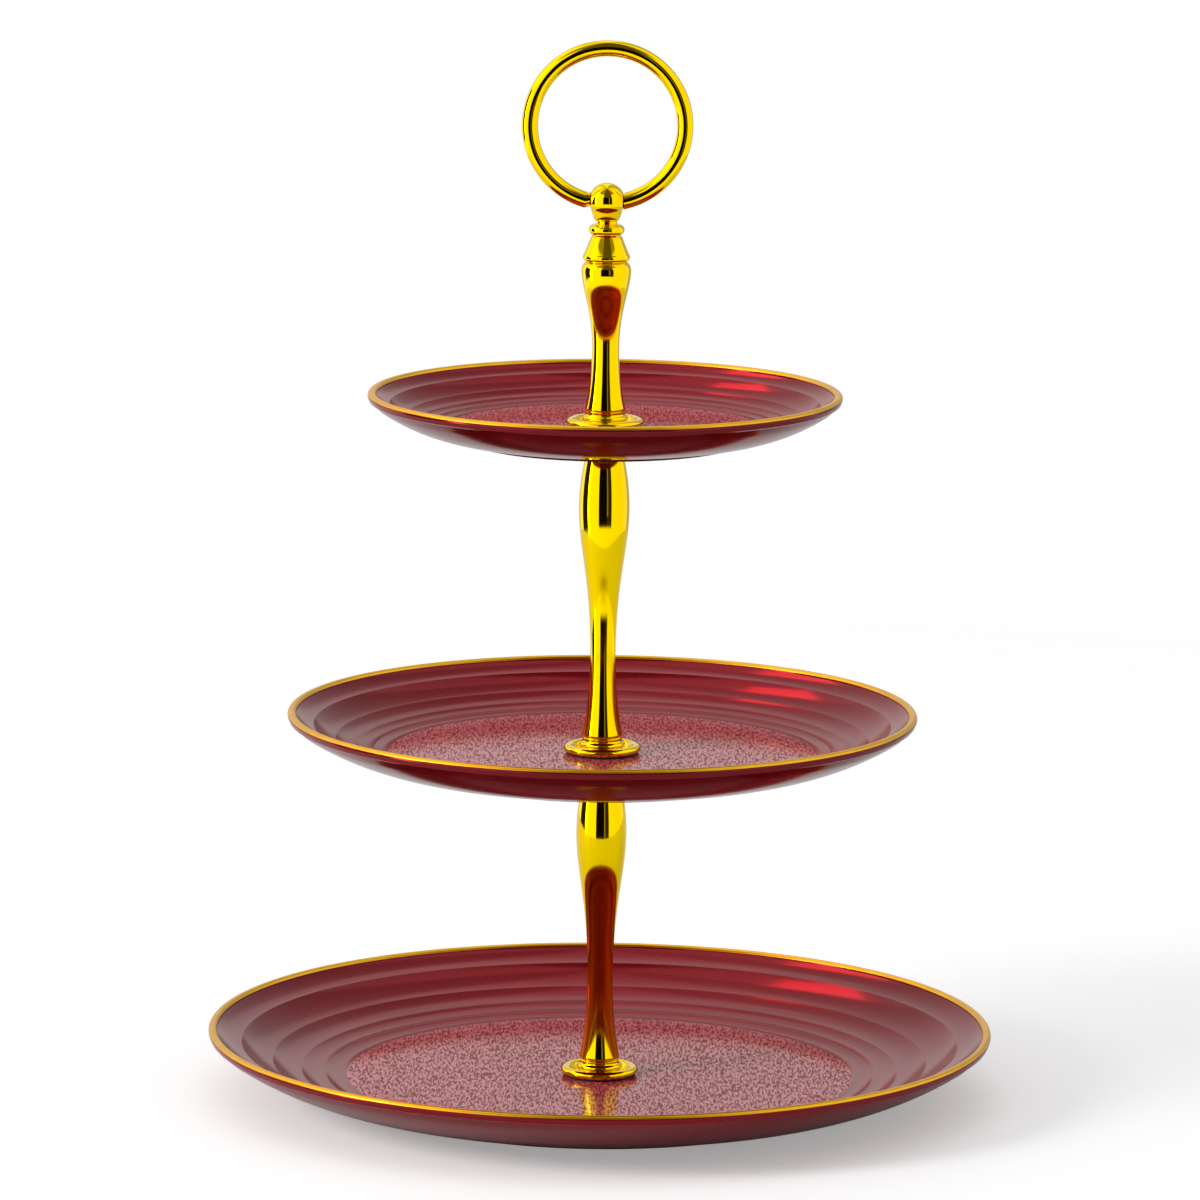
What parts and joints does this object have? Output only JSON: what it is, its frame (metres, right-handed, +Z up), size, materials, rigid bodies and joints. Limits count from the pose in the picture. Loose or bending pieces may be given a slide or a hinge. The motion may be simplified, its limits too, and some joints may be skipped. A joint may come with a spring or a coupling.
{
  "type": "tiered cake stand",
  "caption": "Stand of round plates with terraced slopes and rounded rims, clamped one above another on a turned centre rod that ends in a ball and a tilting ring handle.",
  "frame": {"origin": "centre of the bottom plate's foot ring, on the table", "axes": "+Z up along the centre rod, +X to the right along the ring handle's hinge, front is -Y"},
  "size_m": [0.254, 0.254, 0.3429],
  "materials": {
    "glazed_plate": "gloss glaze, gilt line on the rim",
    "gilt_metal": "mirror polished, gold plated",
    "black_rubber": "matte",
    "steel": "zinc plated"
  },
  "bodies": {
    "stand": {"bottom_plate": "glazed_plate", "middle_plate": "glazed_plate", "top_plate": "glazed_plate", "lower_saucer": "gilt_metal", "middle_saucer": "gilt_metal", "upper_saucer": "gilt_metal", "lower_column": "gilt_metal", "middle_column": "gilt_metal", "handle_column": "gilt_metal", "cone_cap": "gilt_metal", "ball_finial": "gilt_metal", "lower_seal": "black_rubber", "middle_seal": "black_rubber", "upper_seal": "black_rubber", "middle_under_seal": "black_rubber", "upper_under_seal": "black_rubber", "base_seal": "black_rubber", "lower_stud": "steel", "upper_stud": "steel", "base_washer": "steel", "base_screw": "steel"},
    "ring": {"ring_handle": "gilt_metal"}
  },
  "joints": [
    {"name": "ring_tilt", "type": "hinge", "parent": "stand", "child": "ring", "pos_m": [0, 0, 0.2915], "axis": [1, 0, 0], "range_deg": [-168, 168]}
  ]
}
